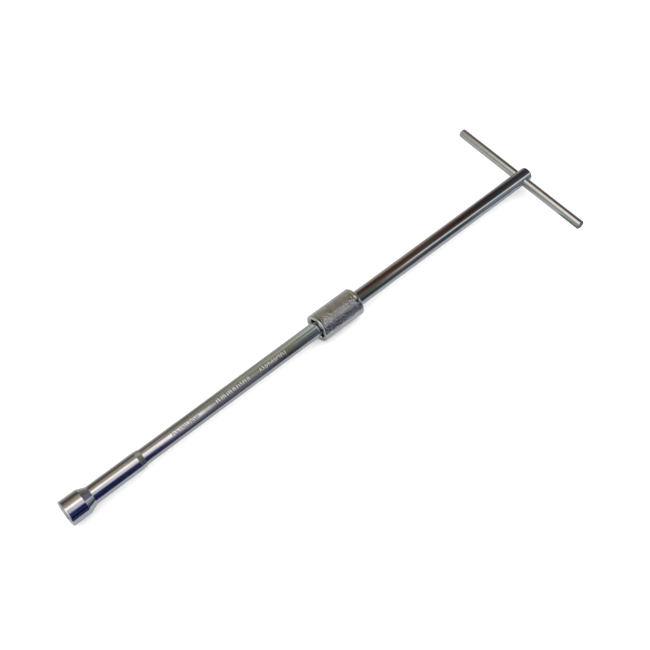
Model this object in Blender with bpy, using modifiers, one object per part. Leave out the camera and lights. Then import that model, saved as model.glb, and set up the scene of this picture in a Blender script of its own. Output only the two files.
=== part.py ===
"""Two-piece long-reach tap wrench with a sliding T bar, lying on a flat surface.

The tool's axis runs along +X, from the mouth of the nut socket to the T bar's end.
+Z is up, and the origin is the middle of the footprint, on the surface.
"""

import math

import bmesh
import bpy
from mathutils import Matrix, Vector

MM = 0.001

# Driving dimensions, in millimetres
LENGTH = 444.0             # socket mouth to the top of the T shaft
SHAFT_DIA = 12.0           # upper shaft and lower tube
TUBE_BORE = 9.0
FIT = 0.2                  # radial gap round a piece that is pressed or plugged in
END_GAP = 0.3              # gap between two faces that meet end to end

HEAD_MOUTH_DIA = 19.2
HEAD_REAR_DIA = 18.8
HEAD_LENGTH = 13.6         # the part round the nut
CONE_END = 19.8
BODY_DIA = 13.7
BODY_END = 56.3
SOCKET_LENGTH = 60.2
NUT_FLATS = 13.0
NUT_DEPTH = 12.5
STUD_BORE = 9.6
TUBE_SEAT_START = 30.0

COUPLING_START = 214.8     # from the socket mouth
COUPLING_LENGTH = 37.7
COUPLING_DIA = 22.0
COUPLING_FLATS = 14.1
COUPLING_HEX_DEPTH = 21.0
WEB = 2.2
WEB_HOLE_DIA = 8.0

TUBE_IN_COUPLING = 6.0
TANG_FLATS = 13.7
TANG_HEX_LENGTH = 13.6
TANG_SPIGOT_LENGTH = 16.0
TANG_CORNER_DIA = 15.5

TANG_BALL_DIA = 3.5
TANG_BALL_PROUD = 0.1
TANG_BALL_HOLE_DIA = 3.7
TANG_BALL_ANGLE = 60.0     # which flat of the tang it is in, from +Y towards +Z

PIN_DIA = 2.5
PIN_BORE = 1.5
PIN_SLOT = 0.5
PIN_FIT = 0.12
PIN_FROM_REAR = 3.2
PIN_SUNK = 0.3
PIN_ANGLE = 120.0          # from +Y towards +Z

BAR_DIA = 7.5
BAR_LENGTH = 130.0
BAR_SHIFT = 1.0            # how far the bar's middle is off the shaft, along +Y
BAR_FROM_TOP = 8.0
BAR_CHAMFER = 0.8
BAR_FIT = 0.1

BALL_DIA = 4.0
BALL_HOLE_DIA = 4.2
BALL_GAP = 0.05
BALL_HOLE_BOTTOM = 27.0    # below the top of the shaft
PLUG_LENGTH = 3.6
PLUG_SUNK = 0.1

HEX_TURN = 30.0            # every hexagon has a corner straight up
AXIS_HEIGHT = COUPLING_DIA / 2
SEGMENTS = 48
SMALL_SEGMENTS = 24

CHROME = ((0.62, 0.63, 0.64, 1.0), 0.12)
SATIN_CHROME = ((0.50, 0.50, 0.48, 1.0), 0.28)
BRIGHT_STEEL = ((0.45, 0.45, 0.46, 1.0), 0.22)
SPRING_STEEL = ((0.20, 0.20, 0.22, 1.0), 0.35)


def clear_scene():
    for obj in list(bpy.data.objects):
        bpy.data.objects.remove(obj)


def new_collection(name):
    collection = bpy.data.collections.new(name)
    bpy.context.scene.collection.children.link(collection)
    return collection


def finish(name, colour, roughness):
    """A metal finish as a Principled material."""
    material = bpy.data.materials.new(name)
    material.use_nodes = True
    shader = material.node_tree.nodes["Principled BSDF"]
    shader.inputs["Base Color"].default_value = colour
    shader.inputs["Metallic"].default_value = 1.0
    shader.inputs["Roughness"].default_value = roughness
    return material


def along(distance):
    """X in millimetres of a place this far from the socket mouth."""
    return distance - LENGTH / 2


def arc(centre_r, centre_z, radius, start, end, steps=4):
    """Points of a circular arc in a turned profile, as (r, z); angles in degrees from +r."""
    points = []
    for i in range(steps + 1):
        a = math.radians(start + (end - start) * i / steps)
        points.append((centre_r + radius * math.cos(a), centre_z + radius * math.sin(a)))
    return points


def on_axis(x):
    """Turns local +Z to the tool's axis, with local zero at x millimetres."""
    return Matrix.Translation(Vector((x, 0, AXIS_HEIGHT)) * MM) @ Matrix.Rotation(math.pi / 2, 4, "Y")


def across(x, angle, shift=0.0):
    """Turns local +Z square to the tool's axis, at an angle from +Y towards +Z."""
    a = math.radians(angle)
    out = Vector((0, math.cos(a), math.sin(a)))
    turn = out.to_track_quat("Z", "Y").to_matrix().to_4x4()
    place = Vector((x, 0, AXIS_HEIGHT)) + out * shift
    return Matrix.Translation(place * MM) @ turn


def add(name, mesh, matrix, collection, material=None):
    obj = bpy.data.objects.new(name, mesh)
    obj.matrix_world = matrix
    collection.objects.link(obj)
    if material:
        mesh.materials.append(material)
    return obj


def turned(name, profile, matrix, material, closed=True, segments=SEGMENTS):
    """A turned solid. The profile runs down the outer side, from the highest point."""
    count = len(profile)
    mesh = bpy.data.meshes.new(name)
    last = count if closed else count - 1
    edges = [(i, (i + 1) % count) for i in range(last)]
    mesh.from_pydata([(r * MM, 0, z * MM) for r, z in profile], edges, [])
    obj = add(name, mesh, matrix, parts, material)
    screw = obj.modifiers.new("turn", "SCREW")
    screw.steps = segments
    screw.render_steps = segments
    screw.use_merge_vertices = True
    screw.merge_threshold = 0.00001
    screw.use_smooth_shade = True
    return obj


def prism(name, sides, across_corners, length, matrix, turn=0.0):
    """A cutter with flat ends, centred on its matrix: a hexagon or a fine round."""
    mesh = bpy.data.meshes.new(name)
    bm = bmesh.new()
    radius = across_corners / 2 * MM
    bmesh.ops.create_cone(bm, cap_ends=True, segments=sides, radius1=radius, radius2=radius,
                          depth=length * MM, matrix=Matrix.Rotation(math.radians(turn), 4, "Z"))
    bm.to_mesh(mesh)
    bm.free()
    cutter = add(name, mesh, matrix, cutters)
    cutter.hide_render = True
    cutter.display_type = "WIRE"
    return cutter


def cut(obj, cutter, operation="DIFFERENCE"):
    boolean = obj.modifiers.new(cutter.name, "BOOLEAN")
    boolean.operation = operation
    boolean.solver = "EXACT"
    boolean.object = cutter


def corners(flats):
    """Size across the corners of a hexagon from its size across flats."""
    return flats * 2 / math.sqrt(3)


def ball(name, diameter, matrix, material):
    mesh = bpy.data.meshes.new(name)
    bm = bmesh.new()
    bmesh.ops.create_uvsphere(bm, u_segments=20, v_segments=12, radius=diameter / 2 * MM)
    bm.to_mesh(mesh)
    bm.free()
    mesh.shade_smooth()
    return add(name, mesh, matrix, parts, material)


def coil(name, outer_dia, wire_dia, length, turns, matrix, material):
    """A round-wire compression spring that starts at local zero."""
    curve = bpy.data.curves.new(name, "CURVE")
    curve.dimensions = "3D"
    curve.bevel_depth = wire_dia / 2 * MM
    curve.bevel_resolution = 2
    curve.use_fill_caps = True
    spline = curve.splines.new("POLY")
    per_turn = 12
    count = turns * per_turn + 1
    spline.points.add(count - 1)
    radius = (outer_dia - wire_dia) / 2
    rise = length - wire_dia
    for i, point in enumerate(spline.points):
        a = 2 * math.pi * i / per_turn
        z = wire_dia / 2 + rise * i / (count - 1)
        point.co = (radius * math.cos(a) * MM, radius * math.sin(a) * MM, z * MM, 1)
    return add(name, curve, matrix, parts, material)


def nut_socket(material):
    """Stepped deep socket: a hexagon for the nut, a stud bore and a seat for the tube."""
    mouth_r = HEAD_MOUTH_DIA / 2
    rim = 0.8
    lead = corners(NUT_FLATS) / 2 + 0.3
    seat_r = SHAFT_DIA / 2 + FIT
    stud_r = STUD_BORE / 2
    profile = [
        (seat_r + 0.1, SOCKET_LENGTH),
        (BODY_DIA / 2, BODY_END),
        (BODY_DIA / 2, CONE_END),
        (HEAD_REAR_DIA / 2, HEAD_LENGTH),
    ]
    profile += arc(mouth_r - rim, rim, rim, 0, -90)
    profile += [
        (lead, 0),
        (stud_r, lead - stud_r),
        (stud_r, TUBE_SEAT_START),
        (seat_r, TUBE_SEAT_START),
        (seat_r, SOCKET_LENGTH - 0.2),
    ]
    obj = turned("nut_socket", profile, on_axis(along(0)), material)
    overrun = 2.0
    hexagon = prism("nut_hexagon", 6, corners(NUT_FLATS), NUT_DEPTH + overrun,
                    on_axis(along((NUT_DEPTH - overrun) / 2)), turn=HEX_TURN)
    cut(obj, hexagon)


def lower_tube(material):
    start = TUBE_SEAT_START + END_GAP
    end = COUPLING_START + TUBE_IN_COUPLING
    outer = SHAFT_DIA / 2
    inner = TUBE_BORE / 2
    edge = 0.3
    profile = [
        (outer - edge, end - start),
        (outer, end - start - edge),
        (outer, edge),
        (outer - edge, 0),
        (inner, 0),
        (inner, end - start),
    ]
    turned("lower_tube", profile, on_axis(along(start)), material)


def drive_tang(material):
    """Hexagonal plug with a spigot that is pressed into the tube."""
    start = COUPLING_START + TUBE_IN_COUPLING + END_GAP
    spigot = TUBE_BORE / 2 - FIT
    corner_r = TANG_CORNER_DIA / 2
    edge = 1.2
    top = TANG_HEX_LENGTH
    profile = [
        (0, top),
        (corner_r - edge, top),
        (corner_r, top - edge),
        (corner_r, edge / 2),
        (corner_r - edge / 2, 0),
        (spigot, 0),
        (spigot, 0.5 - TANG_SPIGOT_LENGTH),
        (spigot - 0.5, -TANG_SPIGOT_LENGTH),
        (0, -TANG_SPIGOT_LENGTH),
    ]
    obj = turned("drive_tang", profile, on_axis(along(start)), material, closed=False)
    hexagon = prism("tang_hexagon", 6, corners(TANG_FLATS), 80, on_axis(along(start)), turn=HEX_TURN)
    cut(obj, hexagon, "INTERSECT")

    ball_x = along(start + TANG_HEX_LENGTH / 2)
    ball_out = TANG_FLATS / 2 + TANG_BALL_PROUD - TANG_BALL_DIA / 2
    hole_bottom = -1.0
    hole_top = TANG_FLATS / 2 + 2
    hole = prism("tang_ball_hole", SMALL_SEGMENTS, TANG_BALL_HOLE_DIA, hole_top - hole_bottom,
                 across(ball_x, TANG_BALL_ANGLE, (hole_top + hole_bottom) / 2))
    cut(obj, hole)
    spring_start = hole_bottom + 0.1
    spring_end = ball_out - TANG_BALL_DIA / 2 - 0.1
    ball("tang_ball", TANG_BALL_DIA, across(ball_x, TANG_BALL_ANGLE, ball_out), steel)
    coil("tang_ball_spring", TANG_BALL_DIA - 0.3, 0.5, spring_end - spring_start, 4,
         across(ball_x, TANG_BALL_ANGLE, spring_start), spring_steel)


def coupling_socket(material):
    """Sleeve with a hexagonal mouth for the tang and a round seat for the upper shaft."""
    outer = COUPLING_DIA / 2
    rim = 0.9
    shoulder = 1.6
    seat_r = SHAFT_DIA / 2 + FIT
    seat_start = COUPLING_HEX_DEPTH + WEB
    web_r = WEB_HOLE_DIA / 2
    lead = corners(COUPLING_FLATS) / 2 + 0.25
    drill_r = COUPLING_FLATS / 2 - 0.4
    profile = arc(outer - shoulder, COUPLING_LENGTH - shoulder, shoulder, 90, 0, 5)
    profile += arc(outer - rim, rim, rim, 0, -90)
    profile += [
        (lead, 0),
        (drill_r, lead - drill_r),
        (drill_r, COUPLING_HEX_DEPTH),
        (web_r, COUPLING_HEX_DEPTH),
        (web_r, seat_start),
        (seat_r, seat_start),
        (seat_r, COUPLING_LENGTH - 0.5),
        (seat_r + 0.5, COUPLING_LENGTH),
    ]
    obj = turned("coupling_socket", profile, on_axis(along(COUPLING_START)), material)
    overrun = 2.0
    middle = COUPLING_START + (COUPLING_HEX_DEPTH - 0.3 - overrun) / 2
    hexagon = prism("coupling_hexagon", 6, corners(COUPLING_FLATS),
                    COUPLING_HEX_DEPTH - 0.3 + overrun, on_axis(along(middle)), turn=HEX_TURN)
    cut(obj, hexagon)
    cut(obj, pin_hole)


def coupling_pin(material):
    """Slotted spring pin across the coupling socket and the shaft in it."""
    half = COUPLING_DIA / 2 - PIN_SUNK
    edge = 0.2
    outer = PIN_DIA / 2
    profile = [
        (outer - edge, half),
        (outer, half - edge),
        (outer, edge - half),
        (outer - edge, -half),
        (PIN_BORE / 2, -half),
        (PIN_BORE / 2, half),
    ]
    obj = turned("coupling_pin", profile, PIN_PLACE, material, segments=SMALL_SEGMENTS)
    slot = prism("pin_slot", 4, PIN_SLOT * math.sqrt(2), 4 * PIN_DIA, PIN_PLACE, turn=45)
    slot.data.transform(Matrix.Diagonal((1, 1, COUPLING_DIA / (2 * PIN_DIA), 1)))
    slot.data.transform(Matrix.Diagonal((PIN_DIA / PIN_SLOT, 1, 1, 1)))
    slot.data.transform(Matrix.Translation(Vector((PIN_DIA / 2, 0, 0)) * MM))
    cut(obj, slot)


def upper_shaft(material):
    """Solid bar with a cross hole for the T bar and a ball hole down from its top."""
    start = COUPLING_START + COUPLING_HEX_DEPTH + WEB + END_GAP
    outer = SHAFT_DIA / 2
    dome = 1.8
    edge = 0.6
    top = LENGTH - start
    profile = [(0, top)]
    profile += arc(outer - dome, top - dome, dome, 90, 0, 6)
    profile += [(outer, edge), (outer - edge, 0), (0, 0)]
    obj = turned("upper_shaft", profile, on_axis(along(start)), material, closed=False)
    cut(obj, prism("bar_hole", 36, BAR_DIA + 2 * BAR_FIT, 40, BAR_PLACE))
    overrun = 3.0
    middle = LENGTH - (BALL_HOLE_BOTTOM - overrun) / 2
    cut(obj, prism("ball_hole", SMALL_SEGMENTS, BALL_HOLE_DIA, BALL_HOLE_BOTTOM + overrun,
                   on_axis(along(middle))))
    cut(obj, pin_hole)


def bar_detent(ball_material, spring_material, plug_material):
    """Ball, spring and plug in the top of the shaft: the ball drags on the T bar."""
    ball_x = LENGTH - BAR_FROM_TOP - BAR_DIA / 2 - BALL_GAP - BALL_DIA / 2
    ball("bar_ball", BALL_DIA, on_axis(along(ball_x)), ball_material)
    spring_start = LENGTH - BALL_HOLE_BOTTOM + 0.1
    spring_end = ball_x - BALL_DIA / 2 - 0.1
    coil("bar_ball_spring", BALL_DIA - 0.3, 0.6, spring_end - spring_start, 7,
         on_axis(along(spring_start)), spring_material)
    plug_r = BALL_HOLE_DIA / 2 - 0.1
    edge = 0.3
    profile = [
        (0, PLUG_LENGTH),
        (plug_r - edge, PLUG_LENGTH),
        (plug_r, PLUG_LENGTH - edge),
        (plug_r, edge),
        (plug_r - edge, 0),
        (0, 0),
    ]
    turned("shaft_end_plug", profile, on_axis(along(LENGTH - PLUG_SUNK - PLUG_LENGTH)),
           plug_material, closed=False, segments=SMALL_SEGMENTS)


def tommy_bar(material):
    half = BAR_LENGTH / 2
    outer = BAR_DIA / 2
    profile = [
        (0, half),
        (outer - BAR_CHAMFER, half),
        (outer, half - BAR_CHAMFER),
        (outer, BAR_CHAMFER - half),
        (outer - BAR_CHAMFER, -half),
        (0, -half),
    ]
    turned("tommy_bar", profile, BAR_PLACE, material, closed=False, segments=36)


PIN_PLACE = across(along(COUPLING_START + COUPLING_LENGTH - PIN_FROM_REAR), PIN_ANGLE)
BAR_PLACE = across(along(LENGTH - BAR_FROM_TOP), 0, BAR_SHIFT)

clear_scene()
parts = new_collection("tap_wrench")
cutters = new_collection("cutters")
chrome = finish("bright_chrome", *CHROME)
satin = finish("satin_chrome", *SATIN_CHROME)
steel = finish("bright_steel", *BRIGHT_STEEL)
spring_steel = finish("spring_steel", *SPRING_STEEL)

pin_hole = prism("pin_hole", SMALL_SEGMENTS, PIN_DIA + 2 * PIN_FIT, COUPLING_DIA + 6, PIN_PLACE)
nut_socket(chrome)
lower_tube(chrome)
drive_tang(steel)
coupling_socket(satin)
coupling_pin(steel)
upper_shaft(chrome)
bar_detent(steel, spring_steel, steel)
tommy_bar(chrome)
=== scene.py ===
# %% [markdown]
# # A two-piece tap wrench in polished chrome
#
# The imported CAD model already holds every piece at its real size. This lesson gives each one its
# final surface: smooth turned steel, real edge radii, a broached hexagon, engraved lines, and the
# chrome that makes a plumber's tool what it is. Chrome has hardly any colour of its own, so half of
# the work is the room that it mirrors.

# %% Load the frame and remember its size
import math

import bmesh
import bpy
import numpy as np
from mathutils import Matrix, Vector


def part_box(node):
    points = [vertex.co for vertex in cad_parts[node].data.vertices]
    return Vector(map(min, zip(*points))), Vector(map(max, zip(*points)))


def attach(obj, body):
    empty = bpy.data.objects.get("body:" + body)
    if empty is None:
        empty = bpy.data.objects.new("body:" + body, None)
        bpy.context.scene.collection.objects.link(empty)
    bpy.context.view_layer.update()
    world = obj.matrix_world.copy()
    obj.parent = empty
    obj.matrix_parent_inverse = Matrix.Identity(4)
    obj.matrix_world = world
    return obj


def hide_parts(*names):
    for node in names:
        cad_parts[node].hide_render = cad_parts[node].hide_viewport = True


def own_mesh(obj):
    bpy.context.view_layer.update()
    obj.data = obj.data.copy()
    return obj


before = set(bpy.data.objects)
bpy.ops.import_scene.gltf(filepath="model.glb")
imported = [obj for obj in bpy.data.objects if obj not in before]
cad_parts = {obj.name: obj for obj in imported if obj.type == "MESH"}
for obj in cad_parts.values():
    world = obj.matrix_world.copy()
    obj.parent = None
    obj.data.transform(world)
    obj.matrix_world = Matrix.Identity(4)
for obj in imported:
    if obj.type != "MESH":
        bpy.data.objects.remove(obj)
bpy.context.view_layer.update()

# %% [markdown]
# ## Sizes come from the frame
#
# Everything below is built in millimetres along one line, the tool's axis. The ends and widths of
# the pieces are read from the CAD nodes, so a new piece always lands where the CAD piece was.

# %% The tool's axis and the pieces along it
MM = 0.001


def span(node):
    """Lowest and highest corner of a CAD node in millimetres."""
    low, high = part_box(node)
    return np.array(low) / MM, np.array(high) / MM


SOCKET, TUBE, TANG, COUPLING = map(span, ("nut_socket", "lower_tube", "drive_tang", "coupling_socket"))
SHAFT, BAR, PLUG, PIN = map(span, ("upper_shaft", "tommy_bar", "shaft_end_plug", "coupling_pin"))
AXIS_Z = (COUPLING[0][2] + COUPLING[1][2]) / 2
SHAFT_R = (SHAFT[1][1] - SHAFT[0][1]) / 2
COUPLING_R = (COUPLING[1][1] - COUPLING[0][1]) / 2
BAR_R = (BAR[1][0] - BAR[0][0]) / 2
BAR_X = (BAR[0][0] + BAR[1][0]) / 2
MOUTH = SOCKET[0][0]
print(f"axis {AXIS_Z:.1f} mm up, shaft {2 * SHAFT_R:.1f} mm, coupling {2 * COUPLING_R:.1f} mm across")

# %% [markdown]
# ## Grids, the one kind of surface used here
#
# A turned or broached piece can be described with two numbers: how far along the profile a point
# is, and the angle round the axis. numpy works out the whole grid of points at once, and the faces
# are the squares between neighbours. This is tidier than spinning a profile by hand, and the radius
# may depend on the angle, which is what makes a hexagonal hole possible.

# %% Helpers: rounded profiles, grids and meshes
AROUND = 288
ANGLES = np.arange(AROUND) * 2 * math.pi / AROUND
print(f"{AROUND} points round the axis")


def rounded(points, radius, steps=7):
    """A profile with its inner corners rounded.

    Each corner is replaced by the arc that touches both of its sides. A point a little before the
    arc and one a little after it keep the long sides flat when the mesh is shaded smooth.
    """
    points = [np.array(p, float) for p in points]
    radii = np.broadcast_to(radius, len(points))
    out = [points[0]]
    for before, corner, after, r in zip(points, points[1:], points[2:], radii[1:]):
        back = (before - corner) / np.linalg.norm(before - corner)
        on = (after - corner) / np.linalg.norm(after - corner)
        half = math.acos(np.clip(back @ on, -1, 1)) / 2
        if r <= 0 or half > math.radians(89):
            out.append(corner)
            continue
        reach = r / math.tan(half)
        centre = corner + (back + on) / np.linalg.norm(back + on) * r / math.sin(half)
        first, last = corner + back * reach - centre, corner + on * reach - centre
        total = math.acos(np.clip(first @ last / r**2, -1, 1))
        share = np.linspace(0, 1, steps + 1)[:, None]
        arc = (np.sin((1 - share) * total) * first + np.sin(share * total) * last) / math.sin(total)
        out.append(corner + back * (reach + 0.15 * r))
        out.extend(centre + arc)
        out.append(corner + on * (reach + 0.15 * r))
    return np.array(out + [points[-1]])


def round_x(along, radius):
    """Points round the tool's axis: x is along it, y and z are the radius times cosine and sine."""
    along, radius, angle = np.broadcast_arrays(along, radius, ANGLES)
    return np.stack([along, radius * np.cos(angle), AXIS_Z + radius * np.sin(angle)], axis=-1)


def turned(profile):
    """A profile of (x, radius) points turned round the tool's axis."""
    profile = np.asarray(profile)
    return round_x(profile[:, :1], profile[:, 1:])


def volume(points, faces):
    """Signed volume of a closed mesh: a sixth of each triangle's triple product, summed."""
    total = 0.0
    for face in (faces[:, [0, 1, 2]], faces[:, [0, 2, 3]]):
        a, b, c = (points[face[:, k]] for k in range(3))
        total += np.einsum("ij,ij->i", a, np.cross(b, c)).sum() / 6
    return total


def surface(name, grid, material, closed=False, capped=False, sharp=30, mark=None):
    """Makes a grid of points (rows, round, 3), in millimetres, into a closed mesh.

    Each face joins point (i, j) to (i, j+1), (i+1, j+1) and (i+1, j), and j wraps round. With
    closed the last row joins the first, with capped both end rows become a flat face, and
    otherwise both end rows lie on one point each. A mark is one more value for every point,
    which the material can read.
    """
    rows, around = grid.shape[:2]
    index = np.arange(rows * around).reshape(rows, around)
    if closed:
        index = np.vstack([index, index[:1]])
    right = np.roll(index, -1, axis=1)
    faces = np.stack([index[:-1], right[:-1], right[1:], index[1:]], axis=-1).reshape(-1, 4)
    points = grid.reshape(-1, 3) * MM
    caps = [index[0][::-1], index[-1]] if capped else []
    inside_out = volume(points - points.mean(axis=0), faces) < 0
    if inside_out:
        faces = faces[:, ::-1]
        caps = [cap[::-1] for cap in caps]
    mesh = bpy.data.meshes.new(name)
    mesh.from_pydata(points.tolist(), [], faces.tolist() + [cap.tolist() for cap in caps])
    if mark is not None:
        mesh.attributes.new("mark", "FLOAT", "POINT").data.foreach_set("value", mark.ravel())
    tidy = bmesh.new()
    tidy.from_mesh(mesh)
    bmesh.ops.remove_doubles(tidy, verts=tidy.verts, dist=1e-7)
    tidy.to_mesh(mesh)
    tidy.free()
    return show(name, mesh, material, sharp)


def show(name, mesh, material, sharp=30):
    """Puts a mesh in the scene, shaded smooth but for its edges over `sharp` degrees."""
    mesh.shade_smooth()
    mesh.set_sharp_from_angle(angle=math.radians(sharp))
    mesh.materials.clear()
    mesh.materials.append(material)
    piece = bpy.data.objects.new(name, mesh)
    bpy.context.scene.collection.objects.link(piece)
    print(f"{name}: {len(mesh.polygons)} faces")
    return piece


# %% [markdown]
# ## Drilling
#
# Cross holes are the one thing that a grid round the axis can't describe, so they are cut as on the
# real tool, with a drill. A Boolean modifier does it, and its result becomes the mesh for good.

# %% Helper: drilled holes


def drill(piece, cutter):
    """Cuts one closed piece out of another for good, and removes the cutter."""
    cut = piece.modifiers.new("drill", "BOOLEAN")
    cut.object = cutter
    cut.solver = "EXACT"
    ready = piece.evaluated_get(bpy.context.evaluated_depsgraph_get())
    mesh = bpy.data.meshes.new_from_object(ready)
    piece.modifiers.clear()
    piece.data = mesh
    mesh.shade_smooth()
    mesh.set_sharp_from_angle(angle=math.radians(30))
    bpy.data.objects.remove(cutter)
    print(f"{piece.name}: drilled, {len(mesh.polygons)} faces")
    return piece


# %% [markdown]
# ## Colours and nodes
#
# Colours are written as the hex values that a painter would pick on a screen. Blender's nodes work
# with light, so one function undoes the screen's curve. One more function adds a node, because the
# materials below are small trees and repeat the same three steps: add, set, link.

# %% Helpers: colour and nodes


def colour(code):
    """A hex colour as linear RGBA: the sRGB curve is a short line, then a power of 2.4."""
    value = np.array([int(code[i:i + 2], 16) for i in (1, 3, 5)]) / 255
    linear = np.where(value <= 0.04045, value / 12.92, ((value + 0.055) / 1.055) ** 2.4)
    return (*linear.tolist(), 1.0)


def add_node(tree, kind, inputs=None, stops=None, **settings):
    """Adds a node: its properties, its inputs (values, or outputs to link) and a ramp's stops."""
    node = tree.nodes.new(kind)
    for name, value in settings.items():
        setattr(node, name, value)
    for name, value in (inputs or {}).items():
        if isinstance(value, bpy.types.NodeSocket):
            tree.links.new(value, node.inputs[name])
        else:
            node.inputs[name].default_value = value
    for i, (place, code) in enumerate(stops or []):
        element = node.color_ramp.elements[i] if i < 2 else node.color_ramp.elements.new(place)
        element.position = place
        element.color = colour(code)
    return node


print("mid grey #808080 in linear light:", round(colour("#808080")[0], 3))

# %% [markdown]
# ## One recipe for every metal
#
# Metals differ here in colour, in how sharp their reflections are, and in the marks that their tools
# left. So one function builds them all: soft patches of tone and wear, and a fine grain that is
# drawn out along the tool marks. Its sizes are millimetres, so each finish can be read as a
# description of the real surface. The first one made with it is the chrome on drawn steel.

# %% Helper: metal
MARK_COLOUR = "#A9A9A6"
MARK_ROUGHNESS = 0.3


def metal(name, light, dark, roughness, patch_mm, wave_mm, grain_mm, grain_height_mm,
          stretch=(1, 1, 1), marked=False):
    """A metal whose tone drifts between two colours in soft patches, with a fine raised grain.

    The patches also lift the surface by wave_mm, which bends the reflections a little. The grain
    is noise on Object coordinates, stretched along the directions that the tool marks run, and its
    size and height are given in millimetres. On a marked piece the engraved lines are matt.
    """
    material = bpy.data.materials.new(name)
    material.use_nodes = True
    tree = material.node_tree
    tree.nodes.clear()
    place = add_node(tree, "ShaderNodeTexCoord").outputs["Object"]
    patches = add_node(tree, "ShaderNodeTexNoise", {"Vector": place, "Scale": 1 / (patch_mm * MM),
                                                    "Detail": 3.0, "Roughness": 0.55})
    tone = add_node(tree, "ShaderNodeValToRGB", {"Fac": patches.outputs["Fac"]},
                    stops=[(0.3, dark), (0.7, light)]).outputs["Color"]
    wear = add_node(tree, "ShaderNodeMapRange", {"Value": patches.outputs["Fac"], "From Min": 0.3,
                                                 "From Max": 0.75, "To Min": roughness[0],
                                                 "To Max": roughness[1]}).outputs["Result"]
    turn = add_node(tree, "ShaderNodeMapping", {"Vector": place, "Scale": stretch})
    grain = add_node(tree, "ShaderNodeTexNoise", {"Vector": turn.outputs["Vector"],
                                                  "Scale": 1 / (grain_mm * MM), "Detail": 4.0,
                                                  "Roughness": 0.6})
    wave = add_node(tree, "ShaderNodeMath", {0: patches.outputs["Fac"], 1: wave_mm * MM},
                    operation="MULTIPLY")
    height = add_node(tree, "ShaderNodeMath", {0: grain.outputs["Fac"], 1: grain_height_mm * MM,
                                               2: wave.outputs[0]}, operation="MULTIPLY_ADD")
    relief = add_node(tree, "ShaderNodeBump", {"Height": height.outputs[0], "Strength": 1.0,
                                               "Distance": 1.0})
    if marked:
        mark = add_node(tree, "ShaderNodeAttribute", attribute_name="mark").outputs["Fac"]
        tone = add_node(tree, "ShaderNodeMix", {0: mark, 6: tone, 7: colour(MARK_COLOUR)},
                        data_type="RGBA").outputs[2]
        wear = add_node(tree, "ShaderNodeMapRange", {"Value": mark, "To Min": wear,
                                                     "To Max": MARK_ROUGHNESS}).outputs["Result"]
    shader = add_node(tree, "ShaderNodeBsdfPrincipled", {
        "Base Color": tone, "Metallic": 1.0, "Roughness": wear, "Normal": relief.outputs["Normal"]})
    add_node(tree, "ShaderNodeOutputMaterial", {"Surface": shader.outputs["BSDF"]})
    return material


# Bright chrome on drawn tube and bar: clean reflections, with faint lines along the length.
DRAWN_CHROME = metal("bright_chrome_on_drawn_steel", "#AEB1B6", "#A4A8AE", (0.025, 0.06), 6.0, 0.010,
                     0.9, 0.003, stretch=(0.04, 1, 1))
print(DRAWN_CHROME.name, "has", len(DRAWN_CHROME.node_tree.nodes), "nodes")

# %% [markdown]
# ## The finishes
#
# Chrome plate is a film a few hundredths of a millimetre thick. It follows the steel under it, so a
# drawn tube keeps faint lines along its length, a turned socket keeps faint rings, and a sleeve that
# was only tumbled before plating stays grained and mirrors the room in broken patches. The steel
# that nobody polishes, inside the joint, is darker and duller.

# %% Materials
# The same film as on the drawn bar, on the marked tube: the engraved lines cut it and scatter the light.
MARKED_CHROME = metal("bright_chrome_on_engraved_tube", "#AEB1B6", "#A4A8AE", (0.025, 0.06), 6.0, 0.010,
                      0.9, 0.003, stretch=(0.04, 1, 1), marked=True)
# Chrome on the lathe-turned socket, where the faint lines run round it.
TURNED_CHROME = metal("bright_chrome_on_turned_steel", "#AFB2B7", "#A6AAB0", (0.02, 0.045), 5.0, 0.006,
                      0.8, 0.002, stretch=(1, 0.15, 0.15))
# Chrome over a tumbled sleeve: satin, and scattered by the pitting of the surface itself.
TUMBLED_CHROME = metal("satin_chrome_on_tumbled_steel", "#B5B6B9", "#A6A7A8", (0.06, 0.11), 3.0, 0.0,
                       0.5, 0.012)
# Chrome on the thin T bar, which was centreless-ground: a little softer, lines round the bar.
GROUND_CHROME = metal("bright_chrome_on_ground_bar", "#B2B3B4", "#A8AAAC", (0.04, 0.08), 5.0, 0.006,
                      0.7, 0.002, stretch=(1, 0.2, 1))
# Unplated turned steel for the tang, pin and plug: grey, with a dull oily sheen.
BARE_STEEL = metal("turned_steel", "#93938F", "#7C7C79", (0.22, 0.34), 2.5, 0.0, 0.5, 0.004)
# Hardened bearing balls: polished, slightly darker than chrome.
BALL_STEEL = metal("polished_bearing_steel", "#A5A7AB", "#9DA0A4", (0.05, 0.08), 4.0, 0.0, 0.6, 0.0005)
# Oiled spring wire, nearly black.
SPRING_WIRE = metal("oiled_spring_wire", "#56575B", "#434448", (0.25, 0.38), 1.5, 0.0, 0.4, 0.002)
print("finishes:", len(bpy.data.materials))

# %% [markdown]
# ## The nut socket
#
# The head is turned from bar: a short drum round the nut, a cone down to a narrower body, and a
# chamfer where the tube goes in. Its hexagon is broached, so the flats run straight in from a turned
# lead-in cone. Where a cone meets a hexagon the edge is a row of six scallops. The grid gives that
# edge exactly, because each angle finds its own place where the cone has closed to the flat.

# %% Hexagon and socket
NUT_FLATS = 13.0
NUT_DEPTH = 12.5
CORNER_UP = math.pi / 2
TUBE_FIT = 0.2


def hexagon(flats, corner_cut):
    """Radius of a hexagon with a corner straight up, at every angle: half the flats over the
    cosine of the angle from the nearest flat, with the corners trimmed by a small broach radius."""
    from_flat = (ANGLES - CORNER_UP) % (math.pi / 3) - math.pi / 6
    radius = flats / 2 / np.cos(from_flat)
    return np.minimum(radius, flats / math.sqrt(3) - corner_cut)


def joined(rows):
    """Rows of (x, radius), each a number or one value per angle, as one grid round the axis."""
    return np.stack([round_x(x, radius) for x, radius in rows])


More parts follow.
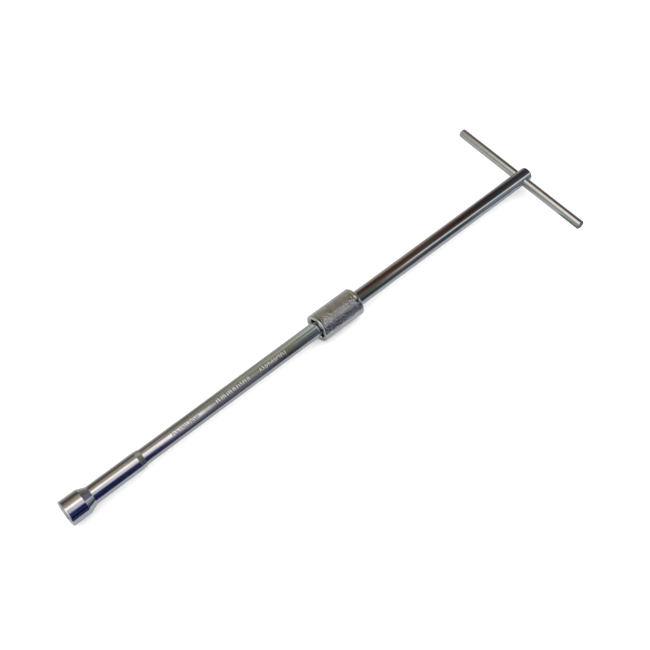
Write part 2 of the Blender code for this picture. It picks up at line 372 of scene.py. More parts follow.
def nut_socket():
    """The profile goes forward along the outside, round the rim and back through the inside.

    On the lead-in cone x and the radius add up to a constant, so the cone meets the hexagon at
    x = lead - wall, which differs with the angle.
    """
    drum, rear_drum, body = 9.6, 9.4, 6.85
    cone_start, cone_end, body_end, end = 13.6, 19.8, 56.3, SOCKET[1][0] - MOUTH
    seat, seat_start, stud = SHAFT_R + TUBE_FIT, 30.0, 4.8
    wall = hexagon(NUT_FLATS, 0.12)
    lead = wall.max() + 0.3
    outside = rounded([(end, seat + 0.1), (end - 0.02, seat + 0.28), (body_end, body), (cone_end, body),
                       (cone_start, rear_drum), (0, drum), (0, lead)],
                      [0, 0.05, 0.8, 0.6, 0.5, 1.1, 0])
    rows = [(MOUTH + x, radius) for x, radius in outside]
    rows += [(MOUTH + lead - wall, wall)]
    rows += [(MOUTH + NUT_DEPTH, wall), (MOUTH + NUT_DEPTH + 0.4, np.full(AROUND, stud))]
    rows += [(MOUTH + seat_start, stud), (MOUTH + seat_start, seat), (MOUTH + end - 0.2, seat)]
    return surface("nut_socket_turned", joined(rows), TURNED_CHROME, closed=True)


socket = nut_socket()
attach(socket, "lower_section")
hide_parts("nut_socket")

# %% [markdown]
# ## The lower tube and its engraved strokes
#
# The tube is plain drawn stock. Groups of short strokes are engraved across it, where a real
# tool carries its size and reach. They could be a bump in the material, but a groove that the
# surface really dips into catches the light from every side. The radius is the tube's, less a
# narrow bell curve round each stroke. The same curve is stored as a mark, so that the material can
# make the strokes matt.

# %% Lower tube
STROKE_WIDTH = 0.22
STROKE_DEPTH = 0.06
STROKE_FACE = math.radians(112)
STROKE_STEP = 0.28


def strokes(start, end, pitch, reach, lean, seed):
    """A row of uneven strokes as two arrays of end points, (along, across) in millimetres.

    Each one is shifted, shortened and leant over by its own random amount.
    """
    count = int((end - start) / pitch) + 1
    shift, short, tilt = np.random.default_rng(seed).uniform(-1, 1, (3, count))
    along = start + (np.arange(count) + 0.3 * shift) * pitch
    half = reach * (0.75 + 0.25 * short)
    across = 0.25 * reach * np.roll(short, 1)
    slide = lean * tilt * half
    return (np.stack([along - slide, across - half], axis=1),
            np.stack([along + slide, across + half], axis=1))


STROKES = [np.concatenate(ends) for ends in zip(strokes(-137.0, -115.0, 1.50, 1.3, 0.6, 2),
                                                strokes(-100.0, -71.5, 1.75, 2.3, 0.3, 3),
                                                strokes(-62.5, -41.0, 1.30, 1.5, 0.9, 4),
                                                strokes(-39.8, -39.0, 1.60, 2.6, 0.1, 5))]


def lower_tube():
    """x is along the tube, and the radius is constant but for the strokes.

    A point's distance to a stroke is its distance to the nearest place on the stroke's centre line,
    and the dip there is a bell curve of that distance.
    """
    start, end, bore, edge = TUBE[0][0], TUBE[1][0], 4.5, 0.3
    engraved = ((-139.0, -113.0), (-102.0, -69.5), (-64.5, -37.0))
    along = np.concatenate([np.linspace(start + edge, -139.5, 12),
                            *(np.arange(low, high, STROKE_STEP) for low, high in engraved),
                            np.linspace(-36.5, end - edge, 10)])
    across = ((ANGLES - STROKE_FACE + math.pi) % (2 * math.pi) - math.pi) * SHAFT_R
    point = np.stack(np.broadcast_arrays(along[:, None], across[None, :]), axis=-1)[:, :, None, :]
    first, last = STROKES
    run = last - first
    share = np.clip(((point - first) * run).sum(-1) / (run**2).sum(-1), 0, 1)
    away = np.linalg.norm(point - first - share[..., None] * run, axis=-1).min(axis=-1)
    mark = np.exp(-(away / STROKE_WIDTH) ** 2)
    body = round_x(along[:, None], SHAFT_R - STROKE_DEPTH * mark)
    front = turned([(start, bore), (start, SHAFT_R - edge)])
    back = turned([(end, SHAFT_R - edge), (end, bore)])
    plain = np.zeros((2, AROUND))
    return surface("lower_tube_drawn", np.concatenate([front, body, back]), MARKED_CHROME, closed=True,
                   mark=np.concatenate([plain, mark, plain]))


tube = lower_tube()
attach(tube, "lower_section")
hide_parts("lower_tube")

# %% [markdown]
# ## The coupling socket
#
# This sleeve joins the two halves. Its mouth is a hexagon again, a little wider than the tang in it,
# so dark slits show between the round tube and the six corners. The sleeve was tumbled and not
# polished, so its skin is pitted all over. The pitting is real relief here: random numbers
# with the finest detail filtered out, added to the radius.

# %% Coupling socket
COUPLING_FLATS = 14.1
# Real pits go down to a few tenths of a millimetre. Those are drawn by the bump in the material.
PIT_SIZE = 1.0
PIT_HEIGHT = 0.045
PIT_STEP = 0.2


def pitting(rows, spacing):
    """Random relief with a root mean square of 1, cut off at 2, that joins up round the sleeve.

    The random numbers are taken apart into waves. Waves much shorter than PIT_SIZE or much longer
    than four times that fade away on bell curves, which leaves bumps of many sizes and no stripes.
    """
    noise = np.random.default_rng(5).standard_normal((rows, AROUND))
    along = np.fft.fftfreq(rows, spacing)[:, None]
    around = np.fft.fftfreq(AROUND, 2 * math.pi * COUPLING_R / AROUND)[None, :]
    waves = np.hypot(along, around) * PIT_SIZE
    keep = np.exp(-waves**2) * (1 - np.exp(-((4 * waves) ** 2)))
    relief = np.fft.ifft2(np.fft.fft2(noise) * keep).real
    return np.clip(relief / relief.std(), -2, 2)


def coupling_socket():
    """Outside from the rear to the mouth, then the hexagon inside, the web and the shaft's seat."""
    start, end = COUPLING[0][0], COUPLING[1][0]
    seat, web, drill_r = SHAFT_R + TUBE_FIT, 4.0, COUPLING_FLATS / 2 - 0.4
    hex_depth, web_width = 21.0, 2.2
    wall = hexagon(COUPLING_FLATS, 0.15)
    lead = wall.max() + 0.25
    outside = rounded([(end, seat + 0.5), (end, COUPLING_R), (start, COUPLING_R), (start, lead)],
                      [0, 1.6, 0.9, 0], steps=10)
    shoulder = np.where(outside[:, 1] >= COUPLING_R - 1e-6)[0]
    skin = np.arange(outside[shoulder[1], 0], outside[shoulder[-2], 0], -PIT_STEP)
    fade = np.clip(np.minimum(skin[0] - skin, skin - skin[-1]) / 1.5, 0, 1)[:, None]
    relief = PIT_HEIGHT * pitting(len(skin), PIT_STEP) * fade
    rows = [tuple(point) for point in outside[:shoulder[1]]]
    rows += [(x, COUPLING_R - 2 * PIT_HEIGHT * f + dent) for x, f, dent in zip(skin, fade, relief)]
    rows += [tuple(point) for point in outside[shoulder[-2] + 1:]]
    rows += [(start + lead - wall, wall), (start + hex_depth - 0.4, wall)]
    rows += [(start + hex_depth, drill_r), (start + hex_depth, web), (start + hex_depth + web_width, web)]
    rows += [(start + hex_depth + web_width, seat), (end - 0.5, seat)]
    return surface("coupling_sleeve", joined(rows), TUMBLED_CHROME, closed=True)


coupling = coupling_socket()

# %% [markdown]
# ## Pieces and holes square to the axis
#
# The pin, the T bar and every cross hole run round a line of their own, which crosses the tool's
# axis. The same profile idea works there with two other directions. The first use is the pin's hole
# through the sleeve, drilled with a small countersink at both ends, as any burr would be taken off.

# %% Helpers: square to the axis
PIN_ANGLE = math.radians(120)
PIN_R = 1.25
PIN_FIT = 0.12


def square_to_axis(profile, x, angle, material, name, around=64):
    """A profile of (distance out, radius) turned round a line that crosses the tool's axis.

    The line leaves the axis at x, at an angle from +Y towards +Z. Each point is the distance out
    along the line, plus the radius times cosine along the tool and sine round it.
    """
    profile = np.asarray(profile, float)
    turn = np.arange(around) * 2 * math.pi / around
    out = np.array([0, math.cos(angle), math.sin(angle)])
    side = np.array([0, -math.sin(angle), math.cos(angle)])
    middle = np.array([x, 0, AXIS_Z]) + profile[:, :1, None] * out
    ring = np.cos(turn)[:, None] * np.array([1, 0, 0]) + np.sin(turn)[:, None] * side
    return surface(name, middle + profile[:, 1:, None] * ring, material)


def bore_cutter(x, angle, radius, countersink, surface_r):
    """A drill with a small countersink at both ends of the hole that it makes."""
    out = surface_r + 2
    profile = [(-out, 0), (-out, radius + countersink + 2), (-surface_r + countersink, radius),
               (surface_r - countersink, radius), (out, radius + countersink + 2), (out, 0)]
    return square_to_axis(profile, x, angle, BARE_STEEL, "drill")


pin_x = (PIN[0][0] + PIN[1][0]) / 2
drill(coupling, bore_cutter(pin_x, PIN_ANGLE, PIN_R + PIN_FIT, 0.25, COUPLING_R))
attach(coupling, "upper_section")
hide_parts("coupling_socket")

# %% [markdown]
# ## The spring pin
#
# A strip of steel rolled into a slotted tube and driven through the sleeve and the shaft. Its end
# shows as a bright ring with a dark middle. The section is a small rectangle swept round almost a
# full turn, and the slot is what is left of the turn.

# %% Coupling pin


def slotted_pin():
    """The wall's outline, a closed ring of (distance out, radius), carried round the pin's own line.

    Rows go from one lip of the slot round to the other, and both lips are flat.
    """
    half = COUPLING_R - 0.3
    outer, inner, edge = PIN_R, 0.75, 0.2
    section = rounded([(-half, inner), (-half, outer - edge), (edge - half, outer), (half - edge, outer),
                       (half, outer - edge), (half, inner), (0, inner), (-half + 0.01, inner)],
                      [0, 0.05, 0.1, 0.1, 0.05, 0, 0, 0], steps=3)
    lip = 0.25 / outer
    turn = np.linspace(lip, 2 * math.pi - lip, 48)[:, None, None]
    out = np.array([0, math.cos(PIN_ANGLE), math.sin(PIN_ANGLE)])
    side = np.array([0, -math.sin(PIN_ANGLE), math.cos(PIN_ANGLE)])
    ring = np.cos(turn) * np.array([1, 0, 0]) + np.sin(turn) * side
    middle = np.array([pin_x, 0, AXIS_Z]) + section[None, :, :1] * out
    return surface("coupling_spring_pin", middle + section[None, :, 1:] * ring, BARE_STEEL, capped=True)


pin = slotted_pin()
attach(pin, "upper_section")
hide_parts("coupling_pin")

# %% [markdown]
# ## The upper shaft
#
# A solid bar with a domed top. The T bar's hole goes straight through it, and a narrower hole comes
# down from the top for the ball and spring that hold the T bar where it is put. Turning gives the
# bar, and the holes are drilled out of it as they are on a real one, with a small countersink.

# %% Upper shaft
BALL_HOLE_R = 2.1
BALL_HOLE_START = SHAFT[1][0] - 27.0
BAR_FIT = 0.1


def upper_shaft():
    """A straight profile with a small chamfer at the coupling's end and a wide arc at the top."""
    start, end = SHAFT[0][0], SHAFT[1][0]
    chamfer, dome = 0.6, 1.8
    profile = rounded([(start, 0), (start, SHAFT_R - chamfer), (start + chamfer, SHAFT_R),
                       (end, SHAFT_R), (end, 0)], [0, 0.1, 0.1, dome, 0], steps=10)
    return surface("upper_shaft_drawn", turned(profile), DRAWN_CHROME)


shaft = upper_shaft()
drill(shaft, bore_cutter(BAR_X, 0.0, BAR_R + BAR_FIT, 0.2, SHAFT_R))
drill(shaft, surface("drill", turned([(BALL_HOLE_START, 0), (BALL_HOLE_START, BALL_HOLE_R),
                                      (SHAFT[1][0] - 0.15, BALL_HOLE_R),
                                      (SHAFT[1][0] + 1, BALL_HOLE_R + 1.15), (SHAFT[1][0] + 1, 0)]),
                     BARE_STEEL))
drill(shaft, bore_cutter(pin_x, PIN_ANGLE, PIN_R + PIN_FIT, 0.0, SHAFT_R + 2))
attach(shaft, "upper_section")
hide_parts("upper_shaft")

# %% [markdown]
# ## The plug
#
# The ball's hole is open at the top of the shaft until a small steel plug is pressed in. On the tool
# it is a grey dot in the middle of the dome, and turning a short rounded profile is all it takes.

# %% Plug in the top of the shaft
plug_r = (PLUG[1][1] - PLUG[0][1]) / 2
plug_profile = rounded([(PLUG[0][0], 0), (PLUG[0][0], plug_r), (PLUG[1][0], plug_r), (PLUG[1][0], 0)],
                       [0, 0.25, 0.25, 0], steps=4)
plug = surface("shaft_end_plug_turned", turned(plug_profile), BARE_STEEL)
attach(plug, "upper_section")
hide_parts("shaft_end_plug")

# %% [markdown]
# ## The sliding T bar
#
# A plain ground bar with a chamfer at each end. It is the same kind of profile, turned round a line
# that crosses the tool.

# %% T bar


def tommy_bar():
    """A straight profile with a chamfer at both ends, turned round a line along +Y."""
    near, far = BAR[0][1], BAR[1][1]
    chamfer = 0.8
    profile = rounded([(near, 0), (near, BAR_R - chamfer), (near + chamfer, BAR_R), (far - chamfer, BAR_R),
                       (far, BAR_R - chamfer), (far, 0)], [0, 0.15, 0.15, 0.15, 0.15, 0], steps=4)
    return square_to_axis(profile, BAR_X, 0.0, GROUND_CHROME, "tommy_bar_ground", around=128)


bar = tommy_bar()
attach(bar, "t_bar")
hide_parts("tommy_bar")

# %% [markdown]
# ## The drive tang
#
# The hexagonal end of the lower half, pressed into the tube. It only shows when the tool is pulled
# apart. Its corners are chamfered by turning, so the chamfer meets the flats in scallops, the
# opposite way round from the socket's mouth.

# %% Drive tang
TANG_FLATS = 13.7
TANG_BALL_HOLE_R = 1.85


def drive_tang():
    """A round spigot, then the hexagon between two chamfers.

    A chamfer starts from a circle a little inside the flats. Its rise goes with the radius at each
    angle, so it reaches furthest at the corners.
    """
    hex_start, hex_end = TUBE[1][0] + 0.3, TANG[1][0]
    spigot_start, spigot = TANG[0][0], 4.3
    wall = hexagon(TANG_FLATS, 0.16)
    slim = wall.min() - 0.35
    slant = 0.8
    rows = [(spigot_start, 0), (spigot_start, spigot - 0.5), (spigot_start + 0.5, spigot),
            (hex_start, spigot), (hex_start, slim), (hex_start + (wall - slim) * slant, wall),
            (hex_end - (wall - slim) * slant, wall), (hex_end, slim), (hex_end, 0)]
    return surface("drive_tang_turned", joined(rows), BARE_STEEL)


def ball_place(node):
    """Middle and radius of a ball's CAD node."""
    low, high = span(node)
    return (low + high) / 2, (high - low).max() / 2


tang = drive_tang()
tang_ball_middle, tang_ball_r = ball_place("tang_ball")
TANG_BALL_ANGLE = math.atan2(tang_ball_middle[2] - AXIS_Z, tang_ball_middle[1])
drill(tang, square_to_axis([(-1, 0), (-1, TANG_BALL_HOLE_R), (9, TANG_BALL_HOLE_R), (9, 0)],
                           tang_ball_middle[0], TANG_BALL_ANGLE, BARE_STEEL, "drill"))
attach(tang, "lower_section")
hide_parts("drive_tang")

# %% [markdown]
# ## The balls
#
# Two spring-loaded balls do the holding: one presses on the T bar, one on the inside of the coupling
# socket. A ball is a grid of latitudes and longitudes, with one point at each pole.

# %% Balls


def ball(name, node):
    """x, y and z are the radius times the cosine or sine of latitude and longitude."""
    middle, radius = ball_place(node)
    latitude = np.linspace(-math.pi / 2, math.pi / 2, 33)[:, None]
    longitude = (np.arange(64) * 2 * math.pi / 64)[None, :]
    points = np.stack([np.sin(latitude) * np.ones_like(longitude), np.cos(latitude) * np.cos(longitude),
                       np.cos(latitude) * np.sin(longitude)], axis=-1)
    return surface(name, middle + radius * points, BALL_STEEL, sharp=60)


for name, node, body in (("bar_ball_polished", "bar_ball", "bar_ball_body"),
                         ("tang_ball_polished", "tang_ball", "tang_ball_body")):
    piece = ball(name, node)
    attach(piece, body)
    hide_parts(node)

# %% [markdown]
# ## The springs
#
# A spring is a circle carried along a helix whose turns close up at both ends, as a real compression
# spring's do. On the tool each spring gets shorter as its ball is pressed in, by the ball's travel:
# 0.8 mm for the T bar's ball and 0.5 mm for the tang's. Here each spring is built at one length.

# %% Springs


def spring(name, start, direction, outer_r, wire_r, length, turns):
    """A wire circle carried along a helix.

    The helix's radius is constant. Its rise is slow over the first and last turn, where a real
    spring's coils close up, and even in between.
    """
    direction = direction / np.linalg.norm(direction)
    helper = np.array([1.0, 0, 0]) if abs(direction[0]) < 0.9 else np.array([0, 1.0, 0])
    u = np.cross(direction, helper)
    u /= np.linalg.norm(u)
    v = np.cross(direction, u)
    share = np.linspace(0, 1, int(turns * 28) + 1)
    end_turn = 1 / turns
    even = np.clip((share - end_turn) / (1 - 2 * end_turn), 0, 1)
    closed_rise = 2 * wire_r * 1.02
    first = np.minimum(share / end_turn, 1)
    last = np.clip((share - 1 + end_turn) / end_turn, 0, 1)
    height = wire_r + closed_rise * (first + last) + even * (length - 2 * wire_r - 2 * closed_rise)
    angle = 2 * math.pi * turns * share
    radius = outer_r - wire_r
    spoke = np.cos(angle)[:, None] * u + np.sin(angle)[:, None] * v
    path = start + spoke * radius + height[:, None] * direction
    ahead = np.gradient(path, axis=0)
    ahead /= np.linalg.norm(ahead, axis=1, keepdims=True)
    lift = np.cross(ahead, spoke)
    ring = np.arange(14) * 2 * math.pi / 14
    circle = (np.cos(ring)[None, :, None] * spoke[:, None, :]
              + np.sin(ring)[None, :, None] * lift[:, None, :])
    return surface(name, path[:, None, :] + wire_r * circle, SPRING_WIRE, capped=True, sharp=50)


bar_spring_box = span("bar_ball_spring")
bar_spring_start = np.array([bar_spring_box[0][0], 0, AXIS_Z])
bar_spring_length = bar_spring_box[1][0] - bar_spring_box[0][0]
bar_spring = spring("bar_ball_spring_wound", bar_spring_start, np.array([1.0, 0, 0]), outer_r=1.85,
                    wire_r=0.3, length=bar_spring_length, turns=7)
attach(bar_spring, "upper_section")
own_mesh(bar_spring)
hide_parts("bar_ball_spring")

tang_out = np.array([0, math.cos(TANG_BALL_ANGLE), math.sin(TANG_BALL_ANGLE)])
tang_reach = np.linalg.norm(tang_ball_middle[1:] - [0, AXIS_Z]) - tang_ball_r
tang_spring_start = np.array([tang_ball_middle[0], 0, AXIS_Z]) - 0.9 * tang_out
tang_spring = spring("tang_ball_spring_wound", tang_spring_start, tang_out, outer_r=1.6, wire_r=0.25,
                     length=tang_reach + 0.8, turns=5)
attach(tang_spring, "lower_section")
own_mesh(tang_spring)
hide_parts("tang_ball_spring")

# %% [markdown]
# ## The floor and a card of painted reflection
#
# The tool lies on white paper. Chrome mirrors that paper along both of its lower edges, and there it
# carries painted shade, greyer than it looks to the eye, or the edges would melt into the background.
# A card lies in front of the tool, unseen by the camera, as a painted dark reflection in the chrome.

# %% Floor and painted reflection card


def matt(name, piece_colour):
    """A plain material that scatters light evenly and has no gloss."""
    material = bpy.data.materials.new(name)
    material.use_nodes = True
    material.node_tree.nodes.clear()
    seen = piece_colour(material.node_tree)
    shader = add_node(material.node_tree, "ShaderNodeBsdfDiffuse", {"Color": seen})
    add_node(material.node_tree, "ShaderNodeOutputMaterial", {"Surface": shader.outputs[0]})
    return material


def flat_sheet(name, corner, far_corner, height, material):
    """One level rectangle between two corners, in metres."""
    (x0, y0), (x1, y1) = corner, far_corner
    mesh = bpy.data.meshes.new(name)
    mesh.from_pydata([(x0, y0, height), (x1, y0, height), (x1, y1, height), (x0, y1, height)], [],
                     [(0, 1, 2, 3)])
    mesh.materials.append(material)
    sheet = bpy.data.objects.new(name, mesh)
    bpy.context.scene.collection.objects.link(sheet)
    return sheet


def stops_along(tree, axis, reach, stops):
    """A colour ramp along one Object axis, from -reach to reach, with its stops in metres."""
    place = add_node(tree, "ShaderNodeTexCoord").outputs["Object"]
    at = add_node(tree, "ShaderNodeSeparateXYZ", {"Vector": place}).outputs[axis]
    share = add_node(tree, "ShaderNodeMapRange", {"Value": at, "From Min": -reach, "From Max": reach})
    return add_node(tree, "ShaderNodeValToRGB", {"Fac": share.outputs["Result"]},
                    stops=[(x / (2 * reach) + 0.5, code) for x, code in stops]).outputs["Color"]


def paper_with_painted_shade(tree):
    """White to the eye. In the chrome, painted shade: grey, cool before the tool and warm beyond it."""
    ray = add_node(tree, "ShaderNodeLightPath").outputs["Is Glossy Ray"]
    # Painted shade: the greys that only glossy rays see on the paper.
    seen = stops_along(tree, "Y", 0.20, [(-0.026, "#B8BBC3"), (-0.012, "#C5C3BB"), (0.050, "#B9B9B6"),
                                         (0.150, "#8A8780")])
    return add_node(tree, "ShaderNodeMix", {0: ray, 6: colour("#FAFAFA"), 7: seen},
                    data_type="RGBA").outputs[2]


def painted_reflection_tones(tree):
    """Painted reflection: navy at the socket's end, nearly black before the coupling socket, grey past it.
    """
    return stops_along(tree, "X", 0.25, [
        (-0.215, "#2E354E"), (-0.180, "#212841"), (-0.138, "#282B40"), (-0.090, "#474750"),
        (0.000, "#474750"), (0.030, "#24262B"), (0.070, "#73757B"), (0.130, "#5B5F64"),
        (0.185, "#8A8D8A"), (0.215, "#656C72")])


# The paper is evenly white to the camera; the grey that the chrome mirrors is painted shade.
flat_sheet("floor", (-6, -6), (6, 6), -0.0002, matt("white_paper_with_painted_shade", paper_with_painted_shade))
# The card lies in front of the tool and carries only a painted reflection: the camera does not see it.
painted_reflection_card = flat_sheet("painted_reflection_card", (-1.5, -2.0), (1.5, -0.041), 0.0003, matt("painted_reflection_card", painted_reflection_tones))
painted_reflection_card.visible_camera = painted_reflection_card.visible_diffuse = painted_reflection_card.visible_shadow = False
print("staged: floor and", painted_reflection_card.name)

# %% [markdown]
# ## The room that the chrome mirrors
#
# A mirror-bright bar shows the room squeezed into stripes: each direction round the bar is one
# stripe. So the light is set up as a studio, by direction. Overhead, towards the socket's end, is a
# white softbox. The far wall is olive, the near side a navy curtain, and the wall beyond the T bar is
# dark brown with one straight strip lamp across it. Everything that is not a mirror gets even white
# light instead, which keeps the shadow on the paper faint.

# %% Studio panels
# Each zone is one value of the direction's x, from the socket's end towards the T bar's end. Its
# stops go round the tool in degrees: 0 is the far horizon, 90 straight up, 180 the near horizon. The
# colours were fitted by a separate script and not picked by hand, so they are not a model to follow.
ZONES = [
    (-0.90, [(0, "#9AA791"), (40, "#8B8B84"), (65, "#918D7C"), (90, "#A8A8A2"), (180, "#6C7080")]),
    (-0.55, [(0, "#90A095"), (50, "#918E89"), (62, "#93918C"), (68, "#D0CCC1"), (90, "#FFFFFC"),
             (180, "#6C7080")]),
    (-0.22, [(0, "#8C8A84"), (50, "#9A9892"), (64, "#81817F"), (71, "#E7DDD7"), (90, "#FFFFFC"),
             (180, "#6C7080")]),
    (-0.05, [(0, "#867F71"), (50, "#6A665C"), (66, "#63605F"), (74, "#D3C9C0"), (90, "#FFFFFF"),
             (180, "#26284E")]),
    (0.06, [(0, "#7A6E69"), (18, "#453D32"), (32, "#474234"), (54, "#7E7B6C"), (70, "#8D897C"),
            (77, "#DDDBC0"), (83, "#FFFFF6"), (95, "#FFFFEA"), (98, "#A09E9A"), (126, "#525D79"),
            (133, "#1A203A"), (146, "#434F7C"), (158, "#010218"), (168, "#000116"), (180, "#01010C")]),
    (0.11, [(0, "#74655E"), (18, "#50473F"), (32, "#514436"), (54, "#938372"), (74, "#A5988A"),
            (83, "#FFFBEC"), (95, "#FFFAF4"), (102, "#BCB2B3"), (114, "#D1C9D0"), (128, "#9F9CB6"),
            (134, "#1B1F3D"), (146, "#101533"), (160, "#272F52"), (170, "#010420"), (180, "#01041F")]),
    (0.165, [(0, "#96898A"), (18, "#5E5750"), (36, "#5C574F"), (54, "#8F897B"), (72, "#827770"),
             (86, "#E5DCC9"), (98, "#FDF6F2"), (129, "#AFA2B7"), (138, "#545264"), (149, "#3A3453"),
             (164, "#1D1A36"), (180, "#0F1438")]),
    (0.21, [(0, "#7E776E"), (18, "#5C574C"), (36, "#6A6259"), (54, "#777262"), (78, "#868174"),
            (99, "#FEF7E9"), (116, "#FFF6F8"), (138, "#918D92"), (162, "#56535A"), (180, "#23252E")]),
    (0.245, [(0, "#827C6F"), (18, "#666356"), (48, "#807E6C"), (84, "#757164"), (108, "#9D9992"),
             (138, "#6A6B71"), (160, "#4D4C52"), (180, "#474A53")]),
    (0.29, [(0, "#8F887D"), (18, "#7C7A6A"), (48, "#938F7F"), (84, "#6E705C"), (108, "#8F8D85"),
            (138, "#646169"), (160, "#57595E"), (180, "#555358")]),
    (0.33, [(0, "#96917F"), (18, "#7A786B"), (52, "#9C9783"), (66, "#908B73"), (76, "#736D5B"),
            (104, "#696855"), (126, "#615F55"), (150, "#474748"), (174, "#0C0C10"), (180, "#0A0A0E")]),
    (0.38, [(0, "#91958A"), (18, "#A0AA97"), (50, "#BFC6B1"), (68, "#5F5E63"), (84, "#7F8C8A"),
            (98, "#ABB3B3"), (116, "#5A5F5F"), (138, "#54585E"), (160, "#47494A"), (180, "#68636B")]),
    (0.42, [(0, "#A69184"), (18, "#817269"), (30, "#5D4A41"), (44, "#3C271F"), (66, "#2F1D17"),
            (96, "#554E43"), (114, "#474C43"), (134, "#414940"), (150, "#353B3A"), (164, "#192221"),
            (180, "#222429")]),
    (0.47, [(0, "#9E9185"), (18, "#8D7F74"), (36, "#634F40"), (60, "#3B2718"), (90, "#443228"),
            (110, "#5F5344"), (140, "#7B7770"), (162, "#323435"), (180, "#2E2E30")]),
    (0.50, [(0, "#9A8778"), (18, "#786B62"), (36, "#544239"), (56, "#40312B"), (80, "#4B3E35"),
            (92, "#261E1A"), (112, "#686361"), (150, "#53565B"), (164, "#2A2C2E"), (180, "#212127")]),
    (0.535, [(0, "#A3958A"), (18, "#5E4C49"), (34, "#4C3B35"), (54, "#3D2B21"), (68, "#261314"),
             (90, "#2C251E"), (112, "#504C48"), (150, "#565759"), (166, "#2D3132"), (180, "#1F221F")]),
    (0.565, [(0, "#898180"), (18, "#474342"), (32, "#302A2A"), (44, "#272220"), (68, "#2F2927"),
             (80, "#332F2B"), (98, "#292824"), (116, "#474745"), (128, "#383835"), (150, "#6D7473"),
             (172, "#6D7275"), (180, "#818585")]),
    (0.65, [(0, "#A8A8A8"), (30, "#6E6C6A"), (48, "#3A3532"), (68, "#312435"), (92, "#4B494D"),
            (118, "#3E3E44"), (150, "#7A8184"), (180, "#4A5058")]),
    (0.74, [(0, "#7A7D76"), (32, "#7A7C72"), (52, "#69635F"), (70, "#695D78"), (92, "#5C5A65"),
            (118, "#5A5A62"), (131, "#A6AAAE"), (141, "#9A9EA4"), (152, "#4A4F56"), (180, "#2E3442")]),
]
ROOM_STRENGTH = 2.35
EVEN_STRENGTH = 2.0
STRIP_COLOUR = "#C6C9CB"
STRIP_SIDE = (0.693, 0.721, 0.014)
STRIP_HALF_WIDTH = (0.045, 0.085)
STRIP_START = (0.445, 0.48)
STRIP_END = (0.16, 0.34)


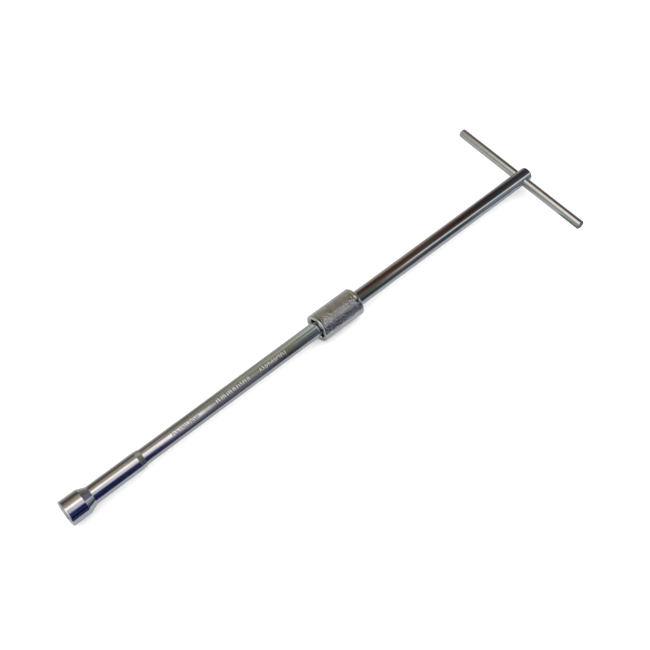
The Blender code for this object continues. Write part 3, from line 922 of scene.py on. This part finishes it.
def studio(world):
    """The room's light by direction: one ramp round the tool for each zone, blended along x.

    The strip lamp is where the direction is square to STRIP_SIDE, so that it runs straight across
    the dark wall. It fades in where the olive wall ends and fades out above the horizon.
    """
    tree = world.node_tree
    tree.nodes.clear()
    way = add_node(tree, "ShaderNodeTexCoord").outputs["Generated"]
    axes = add_node(tree, "ShaderNodeSeparateXYZ", {"Vector": way}).outputs
    round_tool = add_node(tree, "ShaderNodeMath", {0: axes["Z"], 1: axes["Y"]}, operation="ARCTAN2")
    turn = add_node(tree, "ShaderNodeMath", {0: round_tool.outputs[0], 1: math.pi}, operation="DIVIDE")
    room = None
    for number, (along, stops) in enumerate(ZONES):
        ramp = add_node(tree, "ShaderNodeValToRGB", {"Fac": turn.outputs[0]},
                        stops=[(degrees / 180, code) for degrees, code in stops])
        if room is None:
            room = ramp.outputs["Color"]
            continue
        blend = add_node(tree, "ShaderNodeMapRange", {"Value": axes["X"], "From Min": ZONES[number - 1][0],
                                                      "From Max": along})
        mix = add_node(tree, "ShaderNodeMix", {0: blend.outputs["Result"], 6: room,
                                               7: ramp.outputs["Color"]}, data_type="RGBA")
        room = mix.outputs[2]
    side = add_node(tree, "ShaderNodeVectorMath", {0: way, 1: STRIP_SIDE}, operation="DOT_PRODUCT")
    off = add_node(tree, "ShaderNodeMath", {0: side.outputs["Value"]}, operation="ABSOLUTE")
    strip = add_node(tree, "ShaderNodeMapRange", {
        "Value": off.outputs[0], "From Min": STRIP_HALF_WIDTH[0], "From Max": STRIP_HALF_WIDTH[1],
        "To Min": 1.0, "To Max": 0.0})
    start = add_node(tree, "ShaderNodeMapRange", {
        "Value": axes["X"], "From Min": STRIP_START[0], "From Max": STRIP_START[1]})
    finish = add_node(tree, "ShaderNodeMapRange", {
        "Value": axes["Z"], "From Min": STRIP_END[0], "From Max": STRIP_END[1],
        "To Max": start.outputs[0]})
    lit = add_node(tree, "ShaderNodeMath", {0: strip.outputs[0], 1: finish.outputs[0]},
                   operation="MULTIPLY")
    room = add_node(tree, "ShaderNodeMix", {0: lit.outputs[0], 6: room, 7: colour(STRIP_COLOUR)},
                    data_type="RGBA").outputs[2]
    panels = add_node(tree, "ShaderNodeBackground", {"Color": room, "Strength": ROOM_STRENGTH})
    even = add_node(tree, "ShaderNodeBackground", {"Color": colour("#FFFFFF"), "Strength": EVEN_STRENGTH})
    ray = add_node(tree, "ShaderNodeLightPath").outputs
    plain = add_node(tree, "ShaderNodeMath", {0: ray["Is Camera Ray"], 1: ray["Is Diffuse Ray"]},
                     operation="MAXIMUM")
    both = add_node(tree, "ShaderNodeMixShader", {0: plain.outputs[0], 1: panels.outputs[0],
                                                  2: even.outputs[0]})
    add_node(tree, "ShaderNodeOutputWorld", {"Surface": both.outputs[0]})


world = bpy.data.worlds.new("studio")
world.use_nodes = True
studio(world)
bpy.context.scene.world = world
bpy.context.scene.view_settings.view_transform = "Standard"
print("studio zones:", len(ZONES))

# %% [markdown]
# ## The camera
#
# The camera stands over the socket's end and looks down on the tool, so the shaft runs away from it
# and gets thinner towards the T bar. It is placed by the point that it looks at, two angles and a
# distance, and tilted a few degrees as a hand-held camera is.

# %% Camera
LOOK_AT = Vector((-0.0003, -0.0015, 0.011))
AZIMUTH, ELEVATION, ROLL = (math.radians(a) for a in (-44.62, 57.72, 3.33))
DISTANCE = 0.6904
back = Vector((math.sin(AZIMUTH) * math.cos(ELEVATION), -math.cos(AZIMUTH) * math.cos(ELEVATION),
               math.sin(ELEVATION)))
level = Vector((math.cos(AZIMUTH), math.sin(AZIMUTH), 0))
right = Matrix.Rotation(ROLL, 3, back) @ level
up = back.cross(right)
lens = bpy.data.cameras.new("camera")
lens.lens = 52.6
lens.clip_start = 0.01
camera = bpy.data.objects.new("camera", lens)
facing = Matrix((right, up, back)).transposed().to_4x4()
camera.matrix_world = Matrix.Translation(LOOK_AT + back * DISTANCE) @ facing
bpy.context.scene.collection.objects.link(camera)
bpy.context.scene.camera = camera
print(f"camera {DISTANCE:.2f} m away with a {lens.lens:.1f} mm lens")
